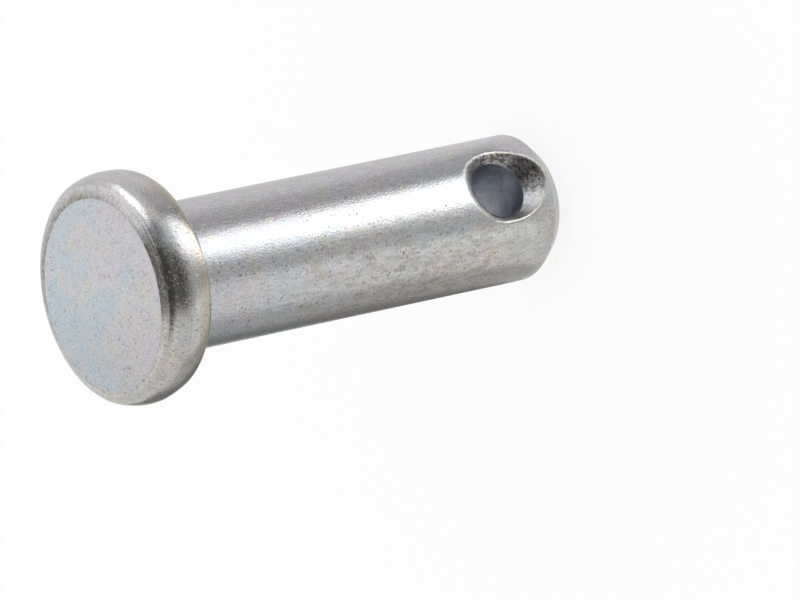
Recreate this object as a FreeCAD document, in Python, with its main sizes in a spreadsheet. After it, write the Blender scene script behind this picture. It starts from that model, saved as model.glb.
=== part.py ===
import FreeCAD, Part
import math
import os
import Sketcher

# Headed clevis pin, one piece, in millimetres.
# It stands on its tail, with +Z up the shank to the head and the origin in the middle of the end face.
# The cross hole runs along Y.

# Driving sizes, kept in the sheet: alias, value, what it is
SIZES = [
    ("shank_diameter", 14.0, "plain shank"),
    ("shank_length", 45.0, "from the end face to the underside of the head"),
    ("head_diameter", 22.0, "head at the crown of its barrelled side"),
    ("head_height", 5.2, "underside to face"),
    ("side_bulge", 0.75, "how far the crown of the side stands out, over the whole head height"),
    ("face_edge_radius", 1.45, "between the head's face and its side"),
    ("rear_edge_radius", 1.3, "between the head's side and its underside"),
    ("neck_radius", 0.5, "between the shank and the underside of the head"),
    ("chamfer_width", 1.67, "tail chamfer, across the radius"),
    ("chamfer_length", 2.1, "tail chamfer, along the shank"),
    ("shoulder_radius", 0.2, "between the shank and the tail chamfer"),
    ("tail_edge_radius", 2.4, "between the tail chamfer and the end face"),
    ("hole_diameter", 5.5, "cross hole"),
    ("countersink_width", 1.75, "wall of the countersink across its radius, at the crest of the shank"),
    ("countersink_angle", 90.0, "whole angle of the countersink, degrees"),
    ("rim_land", 0.22, "plain shank between the tail chamfer and the rim of the countersink"),
    ("rim_radius", 0.25, "softened edge between the countersink and the shank"),
]

RUN_OUT = 2.0         # how far the countersink's cutting section runs out past the shank
SAME = 0.001          # two lengths closer than this are the same

# How a sketch counts the points of a line or arc, and its own origin and upright axis
START, END, CENTRE = 1, 2, 3
ORIGIN, UPRIGHT = -1, -2


def make_sheet(doc):
    """The sheet of driving sizes: a note, then the value under its alias."""
    sheet = doc.addObject("Spreadsheet::Sheet", "Sizes")
    for row, (alias, value, note) in enumerate(SIZES, start=1):
        sheet.set(f"A{row}", note)
        sheet.set(f"B{row}", str(value))
        sheet.setAlias(f"B{row}", alias)
    doc.recompute()
    return sheet


def origin_item(body, role):
    """An origin plane or axis of the body."""
    for item in body.Origin.OriginFeatures:
        if item.Role == role:
            return item
    raise ValueError(role)


def new_sketch(body, name, role):
    """An empty sketch on one of the body's origin planes."""
    sketch = body.newObject("Sketcher::SketchObject", name)
    sketch.AttachmentSupport = [(origin_item(body, role), "")]
    sketch.MapMode = "FlatFace"
    return sketch


def bind(sketch, name, constraint, expression):
    """Add a named constraint whose value follows an expression."""
    index = sketch.addConstraint(constraint)
    sketch.renameConstraint(index, name)
    sketch.setExpression(f"Constraints.{name}", expression)


def join_ends(sketch, how, pieces):
    """Make the end of each piece of outline the start of the next."""
    for first, second in zip(pieces, pieces[1:]):
        sketch.addConstraint(Sketcher.Constraint(how, first, END, second, START))


def corner_centre(size, radius, height):
    """Where the centre of a rounded corner of the head lies, from the pin's axis. The corner touches the
    barrelled side from inside, so the two centres are apart by the difference of their radii."""
    barrel = barrel_radius(size)
    across = math.sqrt((barrel - radius) ** 2 - height ** 2)
    return size["head_diameter"] / 2 - barrel + across


def barrel_radius(size):
    """The radius of the head's side, from its height and its bulge: an arc from its chord and its rise."""
    chord, rise = size["head_height"], size["side_bulge"]
    return (chord ** 2 / 4 + rise ** 2) / (2 * rise)


def draw_profile(body, size):
    """Half of the pin's lengthwise section: end face, chamfer, shank, underside, the head's three arcs,
    face and axis."""
    sketch = new_sketch(body, "turned_profile", "XZ_Plane")
    shank = size["shank_diameter"] / 2
    nose = shank - size["chamfer_width"]
    under = size["shank_length"]
    half = size["head_height"] / 2
    face = under + size["head_height"]
    rear, front = size["rear_edge_radius"], size["face_edge_radius"]
    barrel = barrel_radius(size)
    side_x = size["head_diameter"] / 2 - barrel
    rear_x = corner_centre(size, rear, half - rear)
    front_x = corner_centre(size, front, half - front)
    rear_turn = math.atan2(rear - half, rear_x - side_x)
    front_turn = math.atan2(half - front, front_x - side_x)

    def line(x1, y1, x2, y2):
        ends = FreeCAD.Vector(x1, y1, 0), FreeCAD.Vector(x2, y2, 0)
        return sketch.addGeometry(Part.LineSegment(*ends), False)

    def arc(x, y, radius, start, end):
        circle = Part.Circle(FreeCAD.Vector(x, y, 0), FreeCAD.Vector(0, 0, 1), radius)
        return sketch.addGeometry(Part.ArcOfCircle(circle, start, end), False)

    end_face = line(0, 0, nose, 0)
    chamfer = line(nose, 0, shank, size["chamfer_length"])
    shank_side = line(shank, size["chamfer_length"], shank, under)
    underside = line(shank, under, rear_x, under)
    rear_edge = arc(rear_x, under + rear, rear, -math.pi / 2, rear_turn)
    side = arc(side_x, under + half, barrel, rear_turn, front_turn)
    front_edge = arc(front_x, face - front, front, front_turn, math.pi / 2)
    head_face = line(front_x, face, 0, face)
    axis = line(0, face, 0, 0)
    join_ends(sketch, "Coincident", [end_face, chamfer, shank_side, underside])
    join_ends(sketch, "Tangent", [underside, rear_edge, side, front_edge, head_face])
    join_ends(sketch, "Coincident", [head_face, axis, end_face])
    sketch.addConstraint(Sketcher.Constraint("Coincident", end_face, START, ORIGIN, START))
    for flat in (end_face, underside, head_face):
        sketch.addConstraint(Sketcher.Constraint("Horizontal", flat))
    for upright in (shank_side, axis):
        sketch.addConstraint(Sketcher.Constraint("Vertical", upright))

    def out_to(name, item, end, value, expression):
        bind(sketch, name, Sketcher.Constraint("DistanceX", ORIGIN, START, item, end, value), expression)

    def up_to(name, item, end, value, expression):
        bind(sketch, name, Sketcher.Constraint("DistanceY", ORIGIN, START, item, end, value), expression)

    out_to("nose", chamfer, START, nose, "Sizes.shank_diameter / 2 - Sizes.chamfer_width")
    out_to("shank", shank_side, START, shank, "Sizes.shank_diameter / 2")
    up_to("chamfer", shank_side, START, size["chamfer_length"], "Sizes.chamfer_length")
    up_to("under", underside, START, under, "Sizes.shank_length")
    up_to("crown", side, CENTRE, under + half, "Sizes.shank_length + Sizes.head_height / 2")
    up_to("face", head_face, START, face, "Sizes.shank_length + Sizes.head_height")
    barrel_text = "(Sizes.head_height ^ 2 / 4 + Sizes.side_bulge ^ 2) / (2 * Sizes.side_bulge)"
    out_to("side", side, CENTRE, side_x, f"Sizes.head_diameter / 2 - {barrel_text}")
    bind(sketch, "barrel", Sketcher.Constraint("Radius", side, barrel), barrel_text)
    bind(sketch, "rear", Sketcher.Constraint("Radius", rear_edge, rear), "Sizes.rear_edge_radius")
    bind(sketch, "front", Sketcher.Constraint("Radius", front_edge, front), "Sizes.face_edge_radius")
    return sketch


def turn_blank(body, size):
    """The headed and turned blank, with sharp edges."""
    sketch = draw_profile(body, size)
    blank = body.newObject("PartDesign::Revolution", "turned_blank")
    blank.Profile = sketch
    blank.ReferenceAxis = (sketch, ["V_Axis"])
    blank.Angle = 360.0
    body.Document.recompute()
    return blank


def ring_name(shape, radius, height):
    """The name of the round edge about Z that has this radius and height."""
    for number, edge in enumerate(shape.Edges, start=1):
        if not isinstance(edge.Curve, Part.Circle):
            continue
        if abs(edge.Curve.Radius - radius) < SAME and abs(edge.Curve.Center.z - height) < SAME:
            return f"Edge{number}"
    raise ValueError(f"no round edge of radius {radius} at {height}")


def round_edge(body, base, name, edge_names, alias):
    """A fillet on the named edges, with its radius from the sheet."""
    fillet = body.newObject("PartDesign::Fillet", name)
    fillet.Base = (base, edge_names)
    fillet.setExpression("Radius", f"Sizes.{alias}")
    body.Document.recompute()
    return fillet


def round_turned_edges(body, blank, size):
    """The rounded edges of the neck and the tail, one after the other."""
    shank = size["shank_diameter"] / 2
    steps = [
        ("neck", shank, size["shank_length"], "neck_radius"),
        ("shoulder", shank, size["chamfer_length"], "shoulder_radius"),
        ("tail_edge", shank - size["chamfer_width"], 0.0, "tail_edge_radius"),
    ]
    feature = blank
    for name, radius, height, alias in steps:
        feature = round_edge(body, feature, name, [ring_name(feature.Shape, radius, height)], alias)
    return feature


def draw_hole_section(body, size):
    """Half of the cross hole's lengthwise section: a bore that opens into a cone at each end. The rim of
    the cone clears the tail chamfer by the rim land."""
    sketch = new_sketch(body, "hole_section", "YZ_Plane")
    crest = size["shank_diameter"] / 2
    bore = size["hole_diameter"] / 2
    width = size["countersink_width"]
    slope = math.tan(math.radians(size["countersink_angle"] / 2))
    mouth = crest - width / slope
    far = crest + RUN_OUT
    wide = bore + width + RUN_OUT * slope
    centre = size["chamfer_length"] + size["rim_land"] + width + bore
    corners = [
        (-far, 0), (-far, wide), (-mouth, bore), (mouth, bore), (far, wide), (far, 0),
    ]
    points = [FreeCAD.Vector(x, centre + y, 0) for x, y in corners]
    pieces = []
    for start, end in zip(points, points[1:] + points[:1]):
        pieces.append(sketch.addGeometry(Part.LineSegment(start, end), False))
    left_end, left_cone, wall, right_cone, right_end, middle = pieces
    join_ends(sketch, "Coincident", pieces + [left_end])
    for upright in (left_end, right_end):
        sketch.addConstraint(Sketcher.Constraint("Vertical", upright))
    # Both halves are alike about the pin's axis
    for flat in (wall, middle):
        sketch.addConstraint(Sketcher.Constraint("Symmetric", flat, START, flat, END, UPRIGHT))
    sketch.addConstraint(Sketcher.Constraint("Equal", left_end, right_end))
    slope_text = "tan(Sizes.countersink_angle / 2 * 1 deg)"
    bind(sketch, "centre", Sketcher.Constraint("DistanceY", ORIGIN, START, middle, END, centre),
         "Sizes.chamfer_length + Sizes.rim_land + Sizes.countersink_width + Sizes.hole_diameter / 2")
    bind(sketch, "bore", Sketcher.Constraint("DistanceY", middle, END, wall, START, bore),
         "Sizes.hole_diameter / 2")
    bind(sketch, "plain", Sketcher.Constraint("DistanceX", wall, START, wall, END, 2 * mouth),
         f"Sizes.shank_diameter - 2 * Sizes.countersink_width / {slope_text}")
    bind(sketch, "reach", Sketcher.Constraint("DistanceX", middle, END, middle, START, 2 * far),
         f"Sizes.shank_diameter + 2 * {RUN_OUT}")
    bind(sketch, "flare", Sketcher.Constraint("DistanceY", right_end, END, right_end, START, wide),
         f"Sizes.hole_diameter / 2 + Sizes.countersink_width + {RUN_OUT} * {slope_text}")
    # The line that the section turns about lies on its long side
    turning_line = sketch.addGeometry(Part.LineSegment(points[-1], points[0]), True)
    for end in (START, END):
        sketch.addConstraint(Sketcher.Constraint("Coincident", turning_line, end, middle, end))
    return sketch


def cut_hole(body, base, size):
    """The cross hole with both countersinks, cut in one turn about its own axis."""
    sketch = draw_hole_section(body, size)
    hole = body.newObject("PartDesign::Groove", "cross_hole")
    hole.Profile = sketch
    hole.ReferenceAxis = (sketch, ["Axis0"])
    hole.Angle = 360.0
    body.Document.recompute()
    plain_drill = math.pi * (size["hole_diameter"] / 2) ** 2 * size["hole_diameter"]
    if base.Shape.Volume - hole.Shape.Volume < plain_drill:
        raise ValueError("the cross hole cut too little")
    return hole


def rim_names(shape, size):
    """The names of the edges where the countersinks meet the shank: all their points lie on the shank's
    surface, round the hole's axis, and they don't stay at one height."""
    shank = size["shank_diameter"] / 2
    names = []
    for number, edge in enumerate(shape.Edges, start=1):
        if edge.BoundBox.ZLength < SAME or isinstance(edge.Curve, Part.Line):
            continue
        points = edge.discretize(9)
        if all(abs(math.hypot(point.x, point.y) - shank) < SAME for point in points):
            names.append(f"Edge{number}")
    if not names:
        raise ValueError("no countersink rim was found")
    return names


def make_pin(doc, size):
    """The pin: a headed and turned blank, its edges rounded, drilled across and countersunk."""
    body = doc.addObject("PartDesign::Body", "Pin")
    body.Label = "clevis_pin"
    blank = turn_blank(body, size)
    rounded = round_turned_edges(body, blank, size)
    drilled = cut_hole(body, rounded, size)
    round_edge(body, drilled, "rims", rim_names(drilled.Shape, size), "rim_radius")
    return body


def check_document(doc, bodies):
    """Stop if anything in the document failed."""
    for item in doc.Objects:
        if "Invalid" in item.State or "Error" in item.State:
            raise ValueError(f"{item.Name} failed: {item.State}")
    for body in bodies:
        if body.Shape.isNull() or not body.Shape.isValid():
            raise ValueError(f"{body.Label} has no valid shape")
        if len(body.Shape.Solids) != 1:
            raise ValueError(f"{body.Label} is not one solid")


def main():
    os.makedirs("parts", exist_ok=True)
    doc = FreeCAD.newDocument("ClevisPin")
    sheet = make_sheet(doc)
    size = {alias: float(sheet.get(alias)) for alias, value, note in SIZES}
    bodies = [make_pin(doc, size)]
    doc.recompute()
    check_document(doc, bodies)
    for body in bodies:
        body.Shape.exportStep(f"parts/{body.Label}.step")
        box = body.Shape.optimalBoundingBox(True, False)
        sides = f"{box.XLength:.2f} x {box.YLength:.2f} x {box.ZLength:.2f} mm"
        print(f"{body.Label}: {body.Shape.Volume:.1f} mm3, {sides}")


main()
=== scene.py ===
# Clevis pin in zinc plate, standing on its tail in a small white studio.
# Lengths in the dictionaries are millimetres, angles are degrees. Meshes are in metres.
import math
from functools import partial

import bpy
import numpy as np
from mathutils import Matrix, Vector


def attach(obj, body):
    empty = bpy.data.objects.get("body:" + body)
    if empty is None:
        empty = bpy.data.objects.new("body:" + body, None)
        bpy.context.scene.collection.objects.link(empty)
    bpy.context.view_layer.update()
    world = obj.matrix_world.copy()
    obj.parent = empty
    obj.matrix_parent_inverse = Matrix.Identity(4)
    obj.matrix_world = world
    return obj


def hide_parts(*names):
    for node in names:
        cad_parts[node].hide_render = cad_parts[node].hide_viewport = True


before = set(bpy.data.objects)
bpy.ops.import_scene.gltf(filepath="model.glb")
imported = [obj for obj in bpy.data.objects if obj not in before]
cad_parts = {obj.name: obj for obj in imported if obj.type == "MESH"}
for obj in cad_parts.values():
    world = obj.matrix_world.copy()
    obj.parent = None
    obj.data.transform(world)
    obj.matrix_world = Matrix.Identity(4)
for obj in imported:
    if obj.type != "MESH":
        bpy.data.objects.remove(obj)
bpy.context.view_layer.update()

mm = 0.001


# small helpers
def linearColour(hexText):
    # an sRGB hex colour as the linear values that the shader works in, with full alpha
    levels = [int(hexText[i:i + 2], 16) / 255 for i in (1, 3, 5)]
    return [v / 12.92 if v <= 0.04045 else ((v + 0.055) / 1.055) ** 2.4 for v in levels] + [1.0]


def addNode(material, kind, inputs=(), out=0, **settings):
    # one node with its settings; inputs go by name or in order, each a value or a socket to link from.
    # It returns one of the node's outputs, if it has any.
    tree = material.node_tree
    node = tree.nodes.new("ShaderNode" + kind)
    for name, value in settings.items():
        setattr(node, name, value)
    for name, value in inputs.items() if isinstance(inputs, dict) else enumerate(inputs):
        if isinstance(value, bpy.types.NodeSocket):
            tree.links.new(value, node.inputs[name])
        else:
            node.inputs[name].default_value = value
    return node.outputs[out] if node.outputs else None


def emptyMaterial(name):
    material = bpy.data.materials.new(name)
    material.use_nodes = True
    material.node_tree.nodes.clear()
    return material


def meshObject(name, points, faces, material):
    # points in metres; faces are rows of corner numbers, outward by the right-hand rule
    mesh = bpy.data.meshes.new(name)
    mesh.from_pydata(points, [], faces)
    mesh.update()
    mesh.polygons.foreach_set("use_smooth", [True] * len(mesh.polygons))
    mesh.materials.append(material)
    item = bpy.data.objects.new(name, mesh)
    bpy.context.scene.collection.objects.link(item)
    return item


def levelDirection(side):
    # a level direction, side degrees round from +X
    turn = math.radians(side)
    return (math.cos(turn), math.sin(turn), 0)


def eased(share):
    # 3 s^2 - 2 s^3 of a share cut off at 0 and 1: level at both ends
    share = np.clip(share, 0, 1)
    return share ** 2 * (3 - 2 * share)


# camera
cameraView = {
    "turn": -20.5,               # round the pin from straight in front of the cross hole
    "height": 36.125,            # above the floor
    "roll": -102.118,            # the pin lies across the picture, head to the left
    "aim": (-7.327, -1.301, 19.914),
    "distance": 868.65,
    "lens": 416.88,
    "sensor": 36.0,
    "nearest": 50.0,
    "furthest": 20000.0,
}


def placeCamera(view):
    turn, height, roll = (math.radians(view[k]) for k in ("turn", "height", "roll"))
    level = math.cos(height)
    back = Vector((math.sin(turn) * level, -math.cos(turn) * level, math.sin(height)))
    right = Vector((0, 0, 1)).cross(back).normalized()
    above = back.cross(right)
    rolledRight = right * math.cos(roll) + above * math.sin(roll)
    rolledAbove = back.cross(rolledRight)
    data = bpy.data.cameras.new("camera")
    data.lens = view["lens"]
    data.sensor_width = view["sensor"]
    data.clip_start, data.clip_end = view["nearest"] * mm, view["furthest"] * mm
    camera = bpy.data.objects.new("camera", data)
    bpy.context.scene.collection.objects.link(camera)
    turned = Matrix((rolledRight, rolledAbove, back)).transposed().to_4x4()
    place = (Vector(view["aim"]) + back * view["distance"]) * mm
    camera.matrix_world = Matrix.Translation(place) @ turned
    bpy.context.scene.camera = camera


placeCamera(cameraView)
print("camera placed")


# the pin's shape
pin = {
    "shankRadius": 7.0,
    "shankLength": 45.0,         # end face to the underside of the head
    "headRadius": 11.0,
    "headHeight": 5.2,
    "sideBulge": 0.75,
    "flatRadius": 9.15,          # flat part of the face
    "flatShift": (-0.22, 0.21),  # how far its middle lies from the axis
    "faceBreak": 9.5,            # how steeply the face falls away just outside it
    "faceJoin": 54.0,            # where on the front corner's arc that fall arrives
    "faceEdge": 1.45,            # corner radii of the head
    "rearEdge": 1.3,
    "neck": 0.5,
    "chamferWidth": 1.67,
    "chamferLength": 2.1,
    "shoulder": 0.2,
    "tailEdge": 2.4,             # corner radius of the end
    "holeHeight": 6.82,
    "boreRadius": 2.75,
    "rimRadius": 4.5,            # countersink on the crest of the shank
    "rimSoftness": 0.55,         # radius of the worn rim
    "sharpTail": 0.3,            # share of it that is missing towards the tail
    "sharpSide": 0.45,           # and towards -X
    "runOffSide": 112.0,         # side of the rim that the drill ran off, round from +X towards the head
    "rimSpread": 0.5,            # how much softer the rim is there
    "rimBell": 0.75,             # how far the wall there goes from a cone to a bell mouth
    "bellReach": 0.55,           # where the bell bends most, as a share of the wall's width
    "rimWander": 0.05,           # unevenness of the rim
    "coneSlip": 0.22,            # how much deeper the countersink is cut towards -X
    "ringDepth": 0.005,          # rings that its tool left
    "ringCount": 6.5,
    "mouthSoftness": 0.14,
    "tailRing": 0.45,            # innermost rings of the mesh, round the two poles
    "headRing": 0.4,
    "columns": 240,              # round the pin
    "windowHalf": 28,            # columns each side of the hole that its patch takes
    "windowTop": 12.8,           # height of its upper edge
    "windowStep": 0.28,          # height of the patch's rows
    "ringCrowding": 1.4,         # how much closer its rings come together near the rim
    "shankRings": 10,            # rings of the patch: on the shank, rim, cone, mouth and bore
    "rimRings": 8,
    "coneRings": 42,
    "mouthRings": 5,
    "boreRings": 24,
}


def arcPoints(centre, radius, start, end, count):
    # centre + radius * (cos, sin) for count steps after the start, in the plane of radius and height
    turn = np.radians(start + (end - start) * np.arange(1, count + 1) / count)
    return np.stack([centre[0] + radius * np.cos(turn), centre[1] + radius * np.sin(turn)], 1)


def linePoints(start, end, count):
    # count even steps after the start
    share = (np.arange(1, count + 1) / count)[:, None]
    return np.array(start) + (np.array(end) - np.array(start)) * share


def turnedProfile(p):
    # (radius, height) from the middle of the tail to the middle of the head:
    # end face, round edge, chamfer, shoulder, shank, neck, underside, three tangent arcs, face
    nose = p["shankRadius"] - p["chamferWidth"]
    slope = math.atan2(p["chamferLength"], p["chamferWidth"])
    tailCut = p["tailEdge"] * math.tan(slope / 2)
    shoulderCut = p["shoulder"] * math.tan((math.pi / 2 - slope) / 2)
    chamferStart = (nose + tailCut * math.cos(slope), tailCut * math.sin(slope))
    chamferEnd = (p["shankRadius"] - shoulderCut * math.cos(slope),
                  p["chamferLength"] - shoulderCut * math.sin(slope))
    shoulderTop = p["chamferLength"] + shoulderCut
    lean = math.degrees(slope) - 90
    under = p["shankLength"]
    half = p["headHeight"] / 2
    face = under + p["headHeight"]
    barrel = (half ** 2 + p["sideBulge"] ** 2) / (2 * p["sideBulge"])
    barrelX = p["headRadius"] - barrel
    rear, front = p["rearEdge"], p["faceEdge"]
    rearX = barrelX + math.sqrt((barrel - rear) ** 2 - (half - rear) ** 2)
    frontX = barrelX + math.sqrt((barrel - front) ** 2 - (half - front) ** 2)
    rearTurn = math.degrees(math.atan2(rear - half, rearX - barrelX))
    frontTurn = math.degrees(math.atan2(half - front, frontX - barrelX))
    # between the flat and the corner the face falls away slowly, then faster: its slope is that of
    # faceBreak plus a power of the way, and meets the corner's slope at faceJoin
    join = math.radians(p["faceJoin"])
    joinX = frontX + front * math.cos(join)
    joinZ = face - front + front * math.sin(join)
    way = np.linspace(0, 1, 13)
    span = joinX - p["flatRadius"]
    first = math.tan(math.radians(p["faceBreak"]))
    last = 1 / math.tan(join)
    power = (last - first) / ((face - joinZ) / span - first) - 1
    drop = span * (first * way + (last - first) * way ** (power + 1) / (power + 1))
    fall = np.stack([p["flatRadius"] + span * way, face - drop], 1)
    shank, neck = p["shankRadius"], p["neck"]
    windowRows = round((p["windowTop"] - shoulderTop) / p["windowStep"])
    # each run ends with its number of steps
    runs = [
        [[p["tailRing"], 0.0]],
        linePoints((p["tailRing"], 0), (nose - tailCut, 0), 9),
        arcPoints((nose - tailCut, p["tailEdge"]), p["tailEdge"], -90, lean, 12),
        linePoints(chamferStart, chamferEnd, 5),
        arcPoints((shank - p["shoulder"], shoulderTop), p["shoulder"], lean, 0, 5),
        linePoints((shank, shoulderTop), (shank, p["windowTop"]), windowRows),
        linePoints((shank, p["windowTop"]), (shank, under - neck), 78),
        arcPoints((shank + neck, under - neck), neck, 180, 90, 7),
        linePoints((shank + neck, under), (rearX, under), 8),
        arcPoints((rearX, under + rear), rear, -90, rearTurn, 12),
        arcPoints((barrelX, under + half), barrel, rearTurn, frontTurn, 14),
        arcPoints((frontX, face - front), front, frontTurn, p["faceJoin"], 9),
        fall[::-1][1:],
        linePoints((p["flatRadius"], face), (p["headRing"], face), 22),
    ]
    firstRow = sum(len(r) for r in runs[:5]) - 1          # the row at the shoulder's top
    return np.concatenate(runs), firstRow, firstRow + windowRows


def bentCurve(a, corner, b, t):
    # the quadratic curve (1-t)^2 a + 2t(1-t) corner + t^2 b, which leaves a and b towards the corner
    return [(1 - t) ** 2 * a[i] + 2 * t * (1 - t) * corner[i] + t ** 2 * b[i] for i in (0, 1)]


def holeSections(p, turn):
    # For each direction round the hole's axis, the wall in the plane of that direction:
    # distance from the axis and depth y, from just outside the rim to just inside the bore.
    # The shank there is y = sqrt(R^2 - (d cos)^2), the cone is y = d + (R - rimRadius).
    shank, bore = p["shankRadius"], p["boreRadius"]
    tailward, sideward = np.clip(-np.sin(turn), 0, 1), np.clip(-np.cos(turn), 0, 1)
    runOff = np.clip(np.cos(turn - math.radians(p["runOffSide"])), 0, 1) ** 2
    # the rim's unevenness is the sum of three sines round the hole, and fades out towards the tail
    wander = np.sin(3 * turn + 1.0) + 0.6 * np.sin(7 * turn + 2.0) + 0.4 * np.sin(16 * turn)
    offset = shank - p["rimRadius"] - p["rimWander"] * wander * np.clip(1 + np.sin(turn), 0, 1)
    offset = offset - p["coneSlip"] * sideward
    sharper = p["sharpTail"] * tailward + p["sharpSide"] * sideward
    softness = p["rimSoftness"] * (1 - sharper) + p["rimSpread"] * runOff
    c2 = np.cos(turn) ** 2
    # (d + offset)^2 = R^2 - d^2 cos^2, solved for d
    rim = (-offset + np.sqrt(offset ** 2 - (1 + c2) * (offset ** 2 - shank ** 2))) / (1 + c2)
    rimY = rim + offset
    fall = np.arctan(rim * c2 / rimY)
    cut = softness * np.tan((np.pi / 4 + fall) / 2)
    outside = rim + cut * np.cos(fall)
    outsideY = np.sqrt(shank ** 2 - c2 * outside ** 2)
    inside = rim - cut * math.sqrt(0.5)
    mouthCut = p["mouthSoftness"] * math.tan(math.pi / 8)
    mouthY = bore + offset
    coneEnd = bore + mouthCut * math.sqrt(0.5)

    t = np.linspace(0, 1, p["rimRings"])[:, None]
    rimD, rimDepth = bentCurve((outside, outsideY), (rim, rimY), (inside, inside + offset), t)
    t = np.linspace(0, 1, p["coneRings"] + 2)[1:-1, None]
    coneD = inside * (1 - t) + coneEnd * t
    coneDepth = coneD + offset
    # rings that the countersink's tool left, deepest half way up the cone and uneven round it
    along = (coneD - bore) / (p["rimRadius"] - bore)
    uneven = 0.6 + 0.4 * np.sin(2 * turn + 0.7) * np.sin(5 * turn + 9 * along)
    phase = along * p["ringCount"] + 0.08 * np.sin(7 * turn)
    ring = p["ringDepth"] * np.sqrt(np.sin(np.pi * t)) * uneven * np.sin(2 * np.pi * phase)
    coneD, coneDepth = coneD + ring, coneDepth - ring
    same = np.ones_like(turn)
    t = np.linspace(0, 1, p["mouthRings"])[:, None]
    mouthD, mouthDepth = bentCurve((coneEnd * same, (coneEnd + offset) * same), (bore * same, mouthY * same),
                                   (bore * same, (mouthY - mouthCut) * same), t)
    wallD, wallDepth = np.vstack([rimD, coneD]), np.vstack([rimDepth, coneDepth])
    # the bell: one curve from the shank to the mouth, which leaves the shank along its skin
    t = np.linspace(0, 1, len(wallD))[:, None]
    step = p["bellReach"] * (outside - coneEnd)
    corner = outside - step * np.cos(fall), outsideY + step * np.sin(fall)
    bellD, bellDepth = bentCurve((outside, outsideY), corner, (coneEnd, coneEnd + offset), t)
    bell = p["rimBell"] * runOff
    wallD, wallDepth = wallD + (bellD - wallD) * bell, wallDepth + (bellDepth - wallDepth) * bell
    return np.vstack([wallD, mouthD]), np.vstack([wallDepth, mouthDepth])


def pinMesh(p):
    # Main surface: (r(s) cos a, r(s) sin a, z(s)), with a pole at each end and a window left open at the
    # front and back. Each window is filled by rings that change from its edge to the countersink's rim,
    # then by the walls of the hole, and the last rings of both sides are joined by the bore.
    profile, rowLow, rowHigh = turnedProfile(p)
    rows, columns, half = len(profile), p["columns"], p["windowHalf"]
    angle = 2 * np.pi * np.arange(columns) / columns
    grid = np.stack([profile[:, :1] * np.cos(angle), profile[:, :1] * np.sin(angle),
                     np.repeat(profile[:, 1:], columns, 1)], -1)
    number = np.arange(rows * columns).reshape(rows, columns)
    front, back = columns * 3 // 4, columns // 4

    # the cells of the main surface, without the two windows
    nextColumn = np.roll(number, -1, 1)
    cells = np.stack([number[:-1], nextColumn[:-1], nextColumn[1:], number[1:]], -1)
    fromFront = (np.arange(columns) - front + half) % columns
    fromBack = (np.arange(columns) - back + half) % columns
    inWindow = (fromFront < 2 * half) | (fromBack < 2 * half)
    row = np.arange(rows - 1)[:, None]
    keep = ~(inWindow[None, :] & (row >= rowLow) & (row < rowHigh))
    quads = [cells[keep]]

    # the edge of a window, anticlockwise as seen from outside the front
    wide, tall = 2 * half, rowHigh - rowLow
    across, up = np.arange(wide), np.arange(tall)
    edgeRow = np.concatenate([0 * across, up, 0 * across + tall, tall - up]) + rowLow
    edgeColumn = np.concatenate([across, 0 * up + wide, wide - across, 0 * up]) - half
    edgeU = p["shankRadius"] * edgeColumn * 2 * np.pi / columns
    edgeZ = profile[edgeRow, 1] - p["holeHeight"]
    turn = np.arctan2(edgeZ, edgeU)

    distance, depth = holeSections(p, turn)
    ringX, ringZ = distance * np.cos(turn), distance * np.sin(turn)
    # rings on the shank, laid out on its unrolled surface, closer together near the rim
    share = np.linspace(0, 1, p["shankRings"] + 2)[1:-1, None]
    share = 1 - (1 - share) ** p["ringCrowding"]
    shankU = edgeU * (1 - share) + p["shankRadius"] * np.arcsin(ringX[0] / p["shankRadius"]) * share
    shankZ = edgeZ * (1 - share) + ringZ[0] * share
    patchX = np.vstack([p["shankRadius"] * np.sin(shankU / p["shankRadius"]), ringX])
    patchY = np.vstack([p["shankRadius"] * np.cos(shankU / p["shankRadius"]), depth])
    patchZ = np.vstack([shankZ, ringZ]) + p["holeHeight"]
    bore = np.linspace(-1, 1, p["boreRings"] + 2)[1:-1, None] * depth[-1]
    boreX, boreZ = np.repeat(patchX[-1:], len(bore), 0), np.repeat(patchZ[-1:], len(bore), 0)

    size = len(turn)
    frontEdge = number[edgeRow, (front + edgeColumn) % columns]
    backEdge = number[edgeRow, (back - edgeColumn) % columns]
    frontRings = rows * columns + np.arange(patchX.size).reshape(-1, size)
    boreRings = frontRings[-1, -1] + 1 + np.arange(bore.size).reshape(-1, size)
    backRings = boreRings[-1, -1] + 1 + np.arange(patchX.size).reshape(-1, size)
    strip = np.vstack([frontEdge, frontRings, boreRings, backRings[::-1], backEdge])
    following = np.roll(strip, -1, 1)
    quads.append(np.stack([strip[:-1], following[:-1], following[1:], strip[1:]], -1).reshape(-1, 4))

    points = np.concatenate([
        grid.reshape(-1, 3),
        np.stack([patchX, -patchY, patchZ], -1).reshape(-1, 3),
        np.stack([boreX, bore, boreZ], -1).reshape(-1, 3),
        np.stack([patchX, patchY, patchZ], -1).reshape(-1, 3),
        [[0, 0, 0], [0, 0, profile[-1, 1]]],
    ])
    tailPole = np.full(columns, len(points) - 2)
    fans = np.vstack([np.stack([tailPole, nextColumn[0], number[0]], -1),
                      np.stack([number[-1], nextColumn[-1], tailPole + 1], -1)])
    return points, np.concatenate(quads), fans


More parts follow.
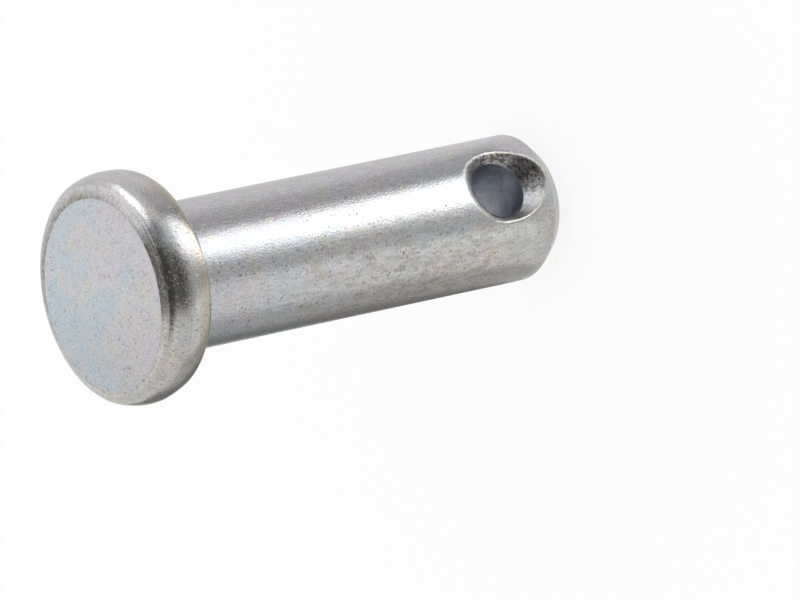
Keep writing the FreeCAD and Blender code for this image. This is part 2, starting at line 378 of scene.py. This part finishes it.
wear = {
    "headSwell": 0.035,          # how far the forged head's skin wanders, always inwards
    "shankSwell": 0.006,
    "swellWaves": ((9.0, 0.35), (3.1, 0.15)),    # wavelength and share of its two fields
    "swellMiddle": 0.5,          # about which they go up and down
    "swellMost": 1.2,
    "headStart": 0.2,            # the head's skin begins this far below its underside
    "headBlend": 0.15,
    "nickCount": 70,             # small knocks from the barrel, mostly on the head's edges
    "nickDepth": 0.035,
    "nickReach": (0.12, 0.4),
    "nickShare": (0.3, 1.0),     # of nickDepth
    "nickRadius": 10.2,          # their middles lie this far from the axis
    "nickTop": 0.35,             # and this far below the face, or up to nickSpread more
    "nickSpread": 4.2,
    "nickCrowding": 0.6,         # under 1, more of them lie near the face
    "nickEnd": 1.0,              # none reaches further below the head's underside
    "cutLift": 0.09,             # the end was chamfered a little out of square
    "cutLean": 0.34,
    "cutRise": 0.5,              # the lean grows up to this height, and is gone again at cutEnd
    "cutEnd": 4.5,
    "cutFade": 2.2,
    "rearLean": 0.1,             # and the head is fuller behind on one side
    "rearRise": 0.35,            # over these heights above the underside
    "rearEnd": 2.4,
    "rearFade": 1.4,
    "rearInner": 9.0,            # and only outside this radius
    "leanSide": -20.5,           # direction in which both reach furthest
    "shiftOuter": 10.1,          # the shift of the face's flat fades out up to this radius
    "shiftFade": 0.8,
    "shiftDepth": 1.2,
    "seed": 41,
}


def waves(points, wavelength, seed, count=28):
    # a smooth random field: the sum of cosine waves of one length in random directions, about -1 to 1
    rng = np.random.default_rng(seed)
    direction = rng.normal(size=(3, count))
    direction /= np.linalg.norm(direction, axis=0)
    phase = rng.uniform(0, 2 * np.pi, count)
    return np.cos(points @ direction * (2 * np.pi / wavelength) + phase).sum(1) / math.sqrt(count * 2)


def nickDepths(points, top, w):
    # the sum of bells depth * exp(-gap^2 / 2), with gap in reaches from a nick's middle. The middle's
    # radius is one for all, so its place round the head and its height decide how much of it cuts in.
    rng = np.random.default_rng(w["seed"] + 2)
    turn = rng.uniform(0, 2 * np.pi, w["nickCount"])
    low = 1 - rng.uniform(size=w["nickCount"]) ** w["nickCrowding"]
    spot = np.stack([w["nickRadius"] * np.cos(turn), w["nickRadius"] * np.sin(turn),
                     top - w["nickTop"] - w["nickSpread"] * low], 1)
    reach = rng.uniform(*w["nickReach"], w["nickCount"])
    depth = w["nickDepth"] * rng.uniform(*w["nickShare"], w["nickCount"])
    gap = ((points[:, None, :] - spot[None]) / reach[None, :, None]) ** 2
    return (depth * np.exp(-gap.sum(2) * 0.5)).sum(1)


def wornPoints(points, normals, p, w):
    # each point moves inwards along its normal: slow waves, plus bell-shaped nicks
    under, top = p["shankLength"], p["shankLength"] + p["headHeight"]
    onHead = 1 / (1 + np.exp(-(points[:, 2] - under + w["headStart"]) / w["headBlend"]))
    swell = w["headSwell"] * onHead + w["shankSwell"] * (1 - onHead)
    slow = w["swellMiddle"]
    for step, (wavelength, share) in enumerate(w["swellWaves"]):
        slow = slow + share * waves(points, wavelength, w["seed"] + step)
    inward = swell * np.clip(slow, 0, w["swellMost"])
    head = points[:, 2] > under - w["nickEnd"]
    inward[head] += nickDepths(points[head], top, w)
    worn = points - normals * inward[:, None]
    # the chamfer rises by cutLift, and by cutLean more on the side away from leanSide
    side = math.radians(w["leanSide"])
    radius = np.hypot(worn[:, 0], worn[:, 1])
    toward = worn[:, 0] * math.cos(side) + worn[:, 1] * math.sin(side)
    toward /= np.maximum(radius, p["shankRadius"])
    height = worn[:, 2].copy()
    share = np.clip(height / w["cutRise"], 0, 1) * np.clip((w["cutEnd"] - height) / w["cutFade"], 0, 1)
    worn[:, 2] += (w["cutLift"] * (1 + toward ** 2) - w["cutLean"] * toward) * eased(share)
    # the head's rear part moves out by rearLean towards leanSide, and in on the other side
    share = np.clip((height - under) / w["rearRise"], 0, 1)
    share *= np.clip((under + w["rearEnd"] - height) / w["rearFade"], 0, 1) * (radius > w["rearInner"])
    worn[:, :2] *= (1 + w["rearLean"] * toward * eased(share) / np.maximum(radius, 1))[:, None]
    # the flat of the face and its edge shift by flatShift, which fades out over the corner
    share = np.clip((w["shiftOuter"] - radius) / w["shiftFade"], 0, 1) * (height > top - w["shiftDepth"])
    worn[:, :2] += np.array(p["flatShift"]) * eased(share)[:, None]
    return worn


def makePin(p, w, material):
    points, quads, fans = pinMesh(p)
    item = meshObject("pinBody", points, quads.tolist() + fans.tolist(), material)
    normals = np.empty(len(points) * 3)
    item.data.vertex_normals.foreach_get("vector", normals)
    worn = wornPoints(points, normals.reshape(-1, 3), p, w)
    item.data.vertices.foreach_set("co", (worn * mm).ravel())
    item.data.update()
    return item


# zinc plate
zinc = {
    "plain": "#B2B5B9",
    "blue": "#A7B4BD",
    "rose": "#BBAFB8",
    "straw": "#BDB79A",
    "warm": "#B6AFA2",           # thin film of dust and oil
    "stainAndShade": "#877C68",          # thicker brown film in smears, and painted shade on the rear of the head
    "deposit": "#4A4238",        # dark brown, in the pits
    # the bore's dull plate, darkened further as painted shade inside the hole
    "bore": "#A7ABB5",
    "scaleAndShade": "#4C4138",          # brown scale left in the countersink, partly painted shade there and on the rim
    "roughness": 0.26,
    "headRoughness": 0.22,
    "faceRoughness": 0.38,
    "dirtRoughness": 0.2,        # more of it where it is dirty or the plate is thin
    "grainDepth": 0.023,
    "streakDepth": 0.011,
    "scratchDepth": 0.012,
    "pitDepth": 0.03,
    "dirtSide": -165.0,          # direction that the film and most of the pits face
    # painted sheen: the rose tint leans to the side of the pin that faces this way
    "roseSheenSide": -28.0,
    "blueSide": 69.5,            # on the face alone
    "darkFaceSide": 150.0,           # side of the face towards which its colour is darker
    "scaleAndShadeSide": (0.78, 0, -0.63),   # side of the countersink that keeps most of its scale and painted shade
    "patchWeight": 1.1,          # of the dirt's patches against its side
    "blueward": -0.1,            # how far the clouds lean on the blue side of the face
    "faceward": 0.018,           # and on all of it
    "scratchStain": 0.4,
    "wobbleReach": 0.22,         # how far the outlines of specks wander
    "dotSpread": (0.9, 1.7),     # smallest and widest speck or pit against its size, and its darkest middle
    "dotCore": 0.2,
    "bandCore": 0.3,             # darkest part of a band against its width
    "scaleAndShadeOnRim": 0.35,
    # noises: size across the pin, detail, roughness, distortion, and the share of their scale along the pin
    "noises": {
        "patches": (4.0, 2.0, 0.5, 0.0, 1.0),        # of dirt
        "clouds": (4.17, 6.0, 0.68, 0.5, 1.0),       # blue and rose of the passivate
        "strawClouds": (2.38, 6.0, 0.7, 0.8, 1.0),
        "smears": (0.77, 6.0, 0.75, 0.0, 0.55),
        "breaks": (0.625, 6.0, 0.8, 0.0, 1.0),       # in the grime round the face
        "bends": (0.87, 2.0, 0.5, 1.2, 1.0),         # of the scratches
        "pieces": (0.526, 1.0, 0.5, 0.0, 1.0),       # that they come in
        "grain": (0.17, 2.0, 0.65, 0.0, 1.0),        # the real crystals are too fine to show
        "streaks": (0.243, 3.0, 0.65, 0.0, 0.22),    # and so are the real marks of drawing
        "wobble": (0.167, 2.0, 0.5, 0.0, 1.0),       # of the specks' outlines
        "crowds": (1.25, 3.0, 0.5, 0.0, 1.0),        # of specks
        "crust": (0.357, 6.0, 0.8, 0.0, 1.0),        # of the scale, partly painted shade
    },
    # ramps: where each starts and ends, then its values there if they aren't nought and one
    "ramps": {
        "dirty": (0.62, 1.45),
        "roseSheenward": (0.5, 0.95, -0.015, 0.1),
        "bluish": (0.53, 0.37, 0.0, 0.85),
        "rosy": (0.47, 0.64, 0.0, 0.4675),
        "strawy": (0.5, 0.65, 0.0, 0.4),
        "warmth": (0.0, 1.0, 0.0, 0.4),
        "stained": (0.46, 0.67, 0.0, 0.78),
        "broken": (0.38, 0.6),
        "scratch": (0.02, 0.006),
        "scratchPieces": (0.51, 0.58),
        "grainShade": (0.3, 0.7, 0.82, 1.18),
        "streakShade": (0.3, 0.7, 0.88, 1.1),
        "dim": (0.1, 1.15, 1.0, 0.86),
        "crowd": (0.4, 0.59),
        "mottle": (0.38, 0.62, 0.72, 1.2),
        "scaledAndShaded": (0.42, 0.56, 0.0, 0.92),
        "scaleAndShadeward": (-0.4, 2.3, 0.12, 1.0),
    },
    # how much is left of a thing on one part of the pin
    "less": {
        "blue": ("offFace", 0.6),
        "smears": ("onHead", 0.25),
        "faceSpecks": ("onFace", 0.5),
        "headSpecks": ("onHead", 0.6),
        "headRelief": ("onHead", 0.7),
        "boreRelief": ("inBore", 0.3),
    },
    # how much of a thing parts of the pin add
    "more": {
        "straw": {"rearFilmAndShade": 0.22, "onRim": 0.22, "headSide": 0.077},
        # on the rear of the head the stain is partly painted shade, which dims the highlight there
        "stainAndShade": {"rearFilmAndShade": 0.42, "onRim": 0.15},
        # bore colour in the bore and, as painted shade, in the countersink
        "thinPlateAndShade": {"inBore": 1.0, "inSink": 0.2},
    },
    "dullParts": {"inBore": 1.0, "onRim": 0.8, "inSink": 0.6},
    # specks and pits: one at most in each cell, and empty is the chance that there is none, where the pin is
    # clean and where it is dirtiest
    "specks": {"spacing": 0.37, "size": 0.11, "empty": (0.98, 0.12), "share": 0.68},
    "pits": {"spacing": 1.05, "size": 0.13, "empty": (0.985, 0.55), "share": 0.85},
    # grime rubbed into the edge of the face, on the part that faces side: start and full are cosines;
    # the darkest band is partly painted dark reflection, the mirrored dark patch carried up to the flat
    "bands": [
        {"colour": "#8F8A7F", "width": 0.4, "side": 0, "start": -3.0, "full": -2.0, "share": (0.1, 0.75)},
        {"colour": "#67635A", "width": 1.2, "side": 20, "start": 0.1, "full": 0.8, "share": (0.3, 0.9)},
        # painted dark reflection as well as grime: it joins the dark patch mirrored on the head's edge to
        # the flat
        {"colour": "#463F38", "width": 1.6, "side": -106, "start": 0.87, "full": 0.96, "share": (0.6, 0.95)},
    ],
}


def pinPlaces(add, p):
    # Where on the pin a point is, in millimetres, and masks from 0 to 1 for the pin's parts. Each mask is
    # measured along one of the lengths, and goes from nought at the first limit to one at the second.
    stored = add("TexCoord", out="Object")
    point = add("VectorMath", {0: stored, "Scale": 1 / mm}, operation="SCALE")
    x, y, height = add("SeparateXYZ", (point,)).node.outputs
    flat = add("CombineXYZ", (x, y))
    fromAxis = add("VectorMath", (flat,), out="Value", operation="LENGTH")
    reach = add("Math", (fromAxis, p["shankRadius"]), operation="MAXIMUM")
    reaches = add("CombineXYZ", (reach, reach, 1.0))
    heading = add("VectorMath", (flat, reaches), operation="DIVIDE")
    fromMiddle = add("VectorMath", (flat, p["flatShift"] + (0,)), operation="SUBTRACT")
    fromFlat = add("VectorMath", (fromMiddle,), out="Value", operation="LENGTH")
    overHole = add("Math", (height, p["holeHeight"]), operation="SUBTRACT")
    acrossHole = add("CombineXYZ", {"X": x, "Z": overHole})
    fromHole = add("VectorMath", (acrossHole,), out="Value", operation="LENGTH")
    # past: how far a point lies outside the countersink's cone, nought on its wall and at its rim
    deep = add("Math", (y,), operation="ABSOLUTE")
    beside = add("Math", (fromHole, deep), operation="SUBTRACT")
    past = add("Math", (beside, p["shankRadius"] - p["rimRadius"]), operation="ADD")

    skin, under, edge, bore = p["shankRadius"], p["shankLength"], p["flatRadius"], p["boreRadius"]
    total = under + p["headHeight"]
    # a third number is the mask's least value
    limits = {
        "onTop": (height, total - 0.16, total - 0.1),
        "inFlat": (fromFlat, edge + 0.08, edge - 0.05),
        "inBore": (fromHole, bore + 0.12, bore + 0.02),
        "nearCone": (past, 0.32, 0.12),
        "belowSkin": (fromAxis, skin - 0.07, skin - 0.2),
        "nearSkin": (fromAxis, skin - 0.5, skin - 0.2),
        "onHead": (height, under - 0.2, under + 0.1),
        "onRear": (height, under + 2.6, under + 1.2),
        "nearTail": (height, 14.0, 13.0),
        "offTail": (height, 3.0, 13.0, 0.4),
        "upShank": (height, 6.0, 15.0, 0.3),
        "lowShank": (height, 36.0, 20.0, 0.15),
        "offFlat": (fromFlat, edge - 0.1, edge + 0.02),
        "onCorner": (height, total - 1.2, total - 0.8),
    }
    at = {name: add("MapRange", values) for name, values in limits.items()}
    for name, other in (("offBore", "inBore"), ("offHead", "onHead")):
        at[name] = add("Math", (1.0, at[other]), operation="SUBTRACT")
    products = {
        "onFace": ("onTop", "inFlat"),
        "inSink": ("belowSkin", "nearCone", "offBore"),
        "onRim": ("nearCone", "nearSkin", "nearTail"),
        "rearFilmAndShade": ("onRear", "onHead"),
        "onEdge": ("offFlat", "onCorner"),
    }
    for name, (first, *others) in products.items():
        at[name] = at[first]
        for other in others:
            at[name] = add("Math", (at[name], at[other]), operation="MULTIPLY")
    at["offFace"] = add("Math", (1.0, at["onFace"]), operation="SUBTRACT")
    at["headSide"] = add("Math", (at["onHead"], at["offFace"]), operation="MULTIPLY")
    at.update(point=point, heading=heading, acrossHole=acrossHole, fromFlat=fromFlat)
    return at


def zincPlate(z, p):
    # Electroplated zinc with a clear blue passivate over turned and cold headed steel: a satin grey metal
    # with faint blue, rose and straw clouds, a sparkling grain, short streaks along the shank, and brown
    # specks and pits where dirt has settled.
    material = emptyMaterial("zincPlateBluePassivate")
    add = partial(addNode, material)
    at = pinPlaces(add, p)
    ramps, point = z["ramps"], at["point"]
    noise = {}
    for name, (size, detail, roughness, distortion, along) in z["noises"].items():
        where = point
        if along != 1:
            where = add("VectorMath", (point, (1, 1, along)), operation="MULTIPLY")
        noise[name] = add("TexNoise", {"Vector": where, "Scale": 1 / size, "Detail": detail,
                                       "Roughness": roughness, "Distortion": distortion})
    # cosines between the way that a point faces and the sides that the dictionary names
    toward = {}
    for name in ("dirtSide", "roseSheenSide", "blueSide", "darkFaceSide"):
        way = levelDirection(z[name])
        toward[name] = add("VectorMath", (at["heading"], way), out="Value", operation="DOT_PRODUCT")
    less = {}
    for name, (part, share) in z["less"].items():
        less[name] = add("MapRange", (at[part], 0.0, 1.0, 1.0, share))
    more = {}
    for name, parts in z["more"].items():
        more[name] = 0.0
        for part, share in parts.items():
            more[name] = add("Math", (at[part], share, more[name]), operation="MULTIPLY_ADD")

    # dirt: one side of the pin, in broken patches, and on the shank more of it towards the tail
    uneven = add("Math", (noise["patches"], z["patchWeight"], toward["dirtSide"]), operation="MULTIPLY_ADD")
    dirty = add("MapRange", (uneven, *ramps["dirty"]))
    film = add("Math", (at["lowShank"], at["onHead"]), operation="MAXIMUM")
    for share in (dirty, at["offFace"]):
        film = add("Math", (film, share), operation="MULTIPLY")

    # passivate clouds some millimetres wide: low values of lean are blue, high ones rose. One side of the
    # face leans to blue, and the side of the pin that faces the rose side leans to rose, a painted sheen.
    blueward = add("Math", (toward["blueSide"], at["onFace"]), operation="MULTIPLY")
    roseSheenward = add("MapRange", (toward["roseSheenSide"], *ramps["roseSheenward"]))
    roseSheenward = add("Math", (roseSheenward, at["offFace"]), operation="MULTIPLY")
    lean = add("Math", (blueward, z["blueward"], noise["clouds"]), operation="MULTIPLY_ADD")
    lean = add("Math", (at["onFace"], z["faceward"], lean), operation="MULTIPLY_ADD")
    lean = add("Math", (lean, roseSheenward), operation="ADD")
    bluish = add("MapRange", (lean, *ramps["bluish"]))
    bluish = add("Math", (bluish, less["blue"]), operation="MULTIPLY")
    rosy = add("MapRange", (lean, *ramps["rosy"]))
    # straw in clouds of its own, and more of it behind the head, on the hole's rim and on the head's side
    strawy = add("MapRange", (noise["strawClouds"], *ramps["strawy"]))
    strawy = add("Math", (strawy, more["straw"]), operation="ADD")
    warmth = add("MapRange", (film, *ramps["warmth"]))
    # brown smears along the shank, fewer on the head
    stained = add("MapRange", (noise["smears"], *ramps["stained"]))
    for share in (at["offTail"], film, less["smears"]):
        stained = add("Math", (stained, share), operation="MULTIPLY")
    # the stain on the rear of the head is partly painted shade
    layers = [(bluish, z["blue"]), (rosy, z["rose"]), (strawy, z["straw"]), (warmth, z["warm"]),
              (more["stainAndShade"], z["stainAndShade"]), (stained, z["stainAndShade"])]

    # grime in the corner round the face: a pale line all round, and darker bands on two sides,
    # the darkest of them partly painted dark reflection
    edge = p["flatRadius"]
    for band in z["bands"]:
        width, way = band["width"], levelDirection(band["side"])
        cosine = add("VectorMath", (at["heading"], way), out="Value", operation="DOT_PRODUCT")
        share = add("MapRange", (at["fromFlat"], edge + width, edge + z["bandCore"] * width))
        broken = add("MapRange", (noise["breaks"], *ramps["broken"], *band["share"]))
        sector = add("MapRange", (cosine, band["start"], band["full"]))
        for factor in (at["onEdge"], broken, sector):
            share = add("Math", (share, factor), operation="MULTIPLY")
        layers.append((share, band["colour"]))

    # short curved scratches on the head: level lines of one noise, broken up by another
    level = add("Math", (noise["bends"], 0.5), operation="SUBTRACT")
    level = add("Math", (level,), operation="ABSOLUTE")
    scratch = add("MapRange", (level, *ramps["scratch"]))
    pieces = add("MapRange", (noise["pieces"], *ramps["scratchPieces"]))
    for share in (pieces, at["onHead"]):
        scratch = add("Math", (scratch, share), operation="MULTIPLY")
    scratched = add("Math", (scratch, z["scratchStain"]), operation="MULTIPLY")
    layers.append((scratched, z["stainAndShade"]))

    colour = linearColour(z["plain"])
    for share, layer in layers:
        colour = add("Mix", {0: share, 6: colour, 7: linearColour(layer)}, out=2, data_type="RGBA")

    # light and dark: the grain, the streaks on the shank, and the face darker towards one side
    shade = add("MapRange", (noise["grain"], *ramps["grainShade"]))
    streakShade = add("MapRange", (noise["streaks"], *ramps["streakShade"]))
    streakShade = add("MapRange", (at["offHead"], 0.0, 1.0, 1.0, streakShade))
    dim = add("MapRange", (toward["darkFaceSide"], *ramps["dim"]))
    dim = add("MapRange", (at["onFace"], 0.0, 1.0, 1.0, dim))
    for share in (streakShade, dim):
        shade = add("Math", (shade, share), operation="MULTIPLY")
    colour = add("VectorMath", (colour, shade), operation="MULTIPLY")

    # specks and pits: the middles of random cells, most of them switched off, more of them where it is dirty
    wobble, reach = noise["wobble"].node.outputs["Color"], (z["wobbleReach"],) * 3
    wandering = add("VectorMath", (wobble, reach, point), operation="MULTIPLY_ADD")
    crowd = add("MapRange", (noise["crowds"], *ramps["crowd"]))
    for share in (dirty, less["faceSpecks"], less["headSpecks"], at["upShank"]):
        crowd = add("Math", (crowd, share), operation="MULTIPLY")
    for kind in (z["specks"], z["pits"]):
        size = kind["size"] / kind["spacing"]
        cells = add("TexVoronoi", {"Vector": wandering, "Scale": 1 / kind["spacing"]}).node.outputs
        chance, other = add("SeparateXYZ", (cells["Color"],)).node.outputs[:2]
        wide = add("MapRange", (other, 0.0, 1.0, *(size * k for k in z["dotSpread"])))
        dot = add("MapRange", (cells["Distance"], wide, size * z["dotCore"]))
        empty = add("MapRange", (crowd, 0.0, 1.0, *kind["empty"]))
        chosen = add("Math", (chance, empty), operation="GREATER_THAN")
        pit = add("Math", (dot, chosen), operation="MULTIPLY")
        share = add("Math", (pit, kind["share"]), operation="MULTIPLY")
        colour = add("Mix", {0: share, 6: colour, 7: linearColour(z["deposit"])}, out=2, data_type="RGBA")

    # thin, dull plate in the bore and brown scale in the countersink and on its rim, both partly painted
    # shade
    mottle = add("MapRange", (noise["strawClouds"], *ramps["mottle"]))
    shadedBoreColour = add("VectorMath", (linearColour(z["bore"])[:3], mottle), operation="MULTIPLY")
    colour = add("Mix", {0: more["thinPlateAndShade"], 6: colour, 7: shadedBoreColour}, out=2, data_type="RGBA")
    toScaleAndShade = add("VectorMath", (at["acrossHole"], z["scaleAndShadeSide"]), out="Value", operation="DOT_PRODUCT")
    scaleAndShadeward = add("MapRange", (toScaleAndShade, *ramps["scaleAndShadeward"]))
    scaleAndShadeZone = add("Math", (at["onRim"], z["scaleAndShadeOnRim"]), operation="MULTIPLY")
    scaleAndShadeZone = add("Math", (at["inSink"], scaleAndShadeZone), operation="MAXIMUM")
    scaledAndShaded = add("MapRange", (noise["crust"], *ramps["scaledAndShaded"]))
    for share in (scaleAndShadeZone, scaleAndShadeward):
        scaledAndShaded = add("Math", (scaledAndShaded, share), operation="MULTIPLY")
    colour = add("Mix", {0: scaledAndShaded, 6: colour, 7: linearColour(z["scaleAndShade"])}, out=2, data_type="RGBA")

    # heights in millimetres: grain and streaks, calmer on the head and in the bore, then pits and scratches
    relief = add("Math", (noise["grain"], z["grainDepth"]), operation="MULTIPLY")
    streakDepth = add("Math", (at["offHead"], z["streakDepth"]), operation="MULTIPLY")
    relief = add("Math", (noise["streaks"], streakDepth, relief), operation="MULTIPLY_ADD")
    for share in (less["headRelief"], less["boreRelief"]):
        relief = add("Math", (relief, share), operation="MULTIPLY")
    relief = add("Math", (pit, -z["pitDepth"], relief), operation="MULTIPLY_ADD")
    relief = add("Math", (scratch, -z["scratchDepth"], relief), operation="MULTIPLY_ADD")
    bump = add("Bump", {"Height": relief, "Strength": 1.0, "Distance": mm})

    # rougher on the face, and wherever it is dirty or the plate is thin
    rough = add("MapRange", (at["onHead"], 0.0, 1.0, z["roughness"], z["headRoughness"]))
    rough = add("MapRange", (at["onFace"], 0.0, 1.0, rough, z["faceRoughness"]))
    dull = add("Math", (pit, stained), operation="MAXIMUM")
    for part, most in z["dullParts"].items():
        share = add("Math", (at[part], most), operation="MULTIPLY")
        dull = add("Math", (dull, share), operation="MAXIMUM")
    rough = add("Math", (dull, z["dirtRoughness"], rough), operation="MULTIPLY_ADD")
    finish = {"Base Color": colour, "Metallic": 1.0, "Roughness": rough, "Normal": bump}
    shader = add("BsdfPrincipled", finish)
    add("OutputMaterial", {"Surface": shader})
    return material


pinBody = makePin(pin, wear, zincPlate(zinc, pin))
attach(pinBody, "root")
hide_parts("clevis_pin")
print("pin made:", len(pinBody.data.polygons), "faces")


# studio
studio = {
    "world": 1.0,
    "floorColour": "#F2F2F2",
    "whiteShare": 0.85,          # the rest of the floor keeps the pin's shadow
    "floorRadius": 3000.0,
    "floorSides": 96,
    "cardAim": (0.0, 0.0, 25.0),     # what the cards face
    "stripHeight": 0.25,         # above the floor
    "stripSteps": 24,
}


def floorMaterial(s):
    # matt white floor; to the camera, and in what shines, it is mostly plain white
    material = emptyMaterial("mattWhiteFloor")
    add = partial(addNode, material)
    diffuse = add("BsdfDiffuse", {"Color": linearColour(s["floorColour"])})
    white = add("Emission", {"Color": (1, 1, 1, 1), "Strength": 1.0})
    rays = add("LightPath").node.outputs
    seen = rays["Is Camera Ray"]
    for name in ("Is Glossy Ray", "Is Transmission Ray"):
        seen = add("Math", (seen, rays[name]), operation="MAXIMUM")
    share = add("Math", (seen, s["whiteShare"]), operation="MULTIPLY")
    mixed = add("MixShader", (share, diffuse, white))
    add("OutputMaterial", {"Surface": mixed})
    return material


def makeFloor(s):
    # a round disc: (R cos a, R sin a, 0)
    sides = s["floorSides"]
    turn = 2 * np.pi * np.arange(sides) / sides
    points = np.stack([np.cos(turn), np.sin(turn), 0 * turn], 1) * s["floorRadius"] * mm
    floor = meshObject("floor", points, [list(range(sides))], floorMaterial(s))


def makeWorld(s):
    world = bpy.data.worlds.new("studio")
    bpy.context.scene.world = world
    world.use_nodes = True
    background = world.node_tree.nodes["Background"].inputs
    background["Color"].default_value = (1, 1, 1, 1)
    background["Strength"].default_value = s["world"]


# Cards that stand round the pin and face it: side is the angle from the camera's side, anticlockwise from
# above, and rise the angle above the floor, both from the pin's middle.
cardColumns = ("side", "rise", "distance", "width", "tall", "strength")
cards = {
    "cameraFlag": (0.0, 58.0, 500.0, 620.0, 650.0, 0.1),      # the dark side where the camera stands
    "cameraFlagLow": (0.0, 7.0, 500.0, 620.0, 325.0, 0.17),
    "topFlag": (170.0, 75.0, 520.0, 150.0, 380.0, 0.1),
    "sideFlag": (47.0, 32.0, 540.0, 200.0, 800.0, 0.31),
    "softBox": (90.0, 27.0, 600.0, 460.0, 380.0, 2.5),        # the shank's bright upper edge in the picture
    "topBox": (134.0, 53.0, 600.0, 400.0, 300.0, 1.52),
    "leftBoard": (-72.0, 19.0, 600.0, 420.0, 260.0, 1.18),
    "faceBoard": (180.0, 34.0, 600.0, 440.0, 560.0, 1.32),    # what the face of the head mirrors
}

# Strips that lie on the floor round the pin: sectors of a ring, side as for the cards.
stripColumns = ("side", "half", "near", "far", "strength")
strips = {
    "lowLight": (34.5, 17.8, 12.0, 36.0, 3.5),                # the bright stripe along the shank
    "nextLight": (34.5, 17.8, 36.0, 66.0, 2.95),
    "midLight": (36.0, 17.0, 66.0, 120.0, 2.2),
    "lowFlagA": (-7.5, 12.0, 12.0, 80.0, 0.7),
    "lowFill": (-31.0, 8.5, 12.0, 80.0, 1.35),
    "sideFill": (-62.0, 15.0, 12.0, 80.0, 1.14),
    "midFlagA": (-6.0, 22.0, 80.0, 170.0, 0.4),
    "farFlagA": (-4.0, 28.0, 170.0, 1500.0, 0.05),
    "lowFlagB": (61.0, 7.0, 12.0, 200.0, 0.41),               # the grey band above the bright stripe
    "lowFlagE": (81.0, 13.0, 12.0, 200.0, 0.67),
    "lowFlagF": (156.0, 28.0, 12.0, 120.0, 0.88),
    "lowFlagC": (-98.0, 20.0, 9.0, 120.0, 0.6),               # the shank's darker lower side in the picture
    "lowFlagD": (-136.0, 18.0, 9.0, 170.0, 0.24),
}


def onlyInReflections(name, points, faces, strength):
    # a glowing surface that nothing but shining metal shows
    material = emptyMaterial(name)
    glow = addNode(material, "Emission", {"Color": (1, 1, 1, 1), "Strength": strength})
    addNode(material, "OutputMaterial", {"Surface": glow})
    item = meshObject(name, points * mm, faces, material)
    item.visible_camera = False
    item.visible_diffuse = False
    item.visible_shadow = False
    item.visible_transmission = False
    item.visible_volume_scatter = False


def makeCard(name, card, view, middle):
    # middle + distance * outward + a * width / 2 * along + b * tall / 2 * upward, for a and b of -1 and 1
    side = math.radians(view["turn"] - 90 + card["side"])
    rise = math.radians(card["rise"])
    outward = np.array([math.cos(side) * math.cos(rise), math.sin(side) * math.cos(rise), math.sin(rise)])
    along = np.array([-math.sin(side), math.cos(side), 0.0])
    upward = np.cross(outward, along)
    a, b = np.array([[-1, 1, 1, -1], [-1, -1, 1, 1]])[:, :, None] / 2
    points = np.array(middle) + outward * card["distance"]
    points = points + a * card["width"] * along + b * card["tall"] * upward
    onlyInReflections(name, points, [[0, 1, 2, 3]], card["strength"])


def makeStrip(name, strip, view, s):
    # (d cos a, d sin a, height) with d near or far and a across the sector
    steps = s["stripSteps"]
    side = np.radians(view["turn"] - 90 + strip["side"] + np.linspace(-1, 1, steps + 1) * strip["half"])
    level = np.stack([np.cos(side), np.sin(side), 0 * side], 1)
    points = np.vstack([level * strip["near"], level * strip["far"]]) + (0, 0, s["stripHeight"])
    low = np.arange(steps)
    faces = np.stack([low, low + steps + 1, low + steps + 2, low + 1], 1)
    onlyInReflections(name, points, faces.tolist(), strip["strength"])


makeFloor(studio)
makeWorld(studio)
for name, values in cards.items():
    makeCard(name, dict(zip(cardColumns, values)), cameraView, studio["cardAim"])
for name, values in strips.items():
    makeStrip(name, dict(zip(stripColumns, values)), cameraView, studio)
bpy.context.scene.view_settings.view_transform = "Standard"
print("studio lit")
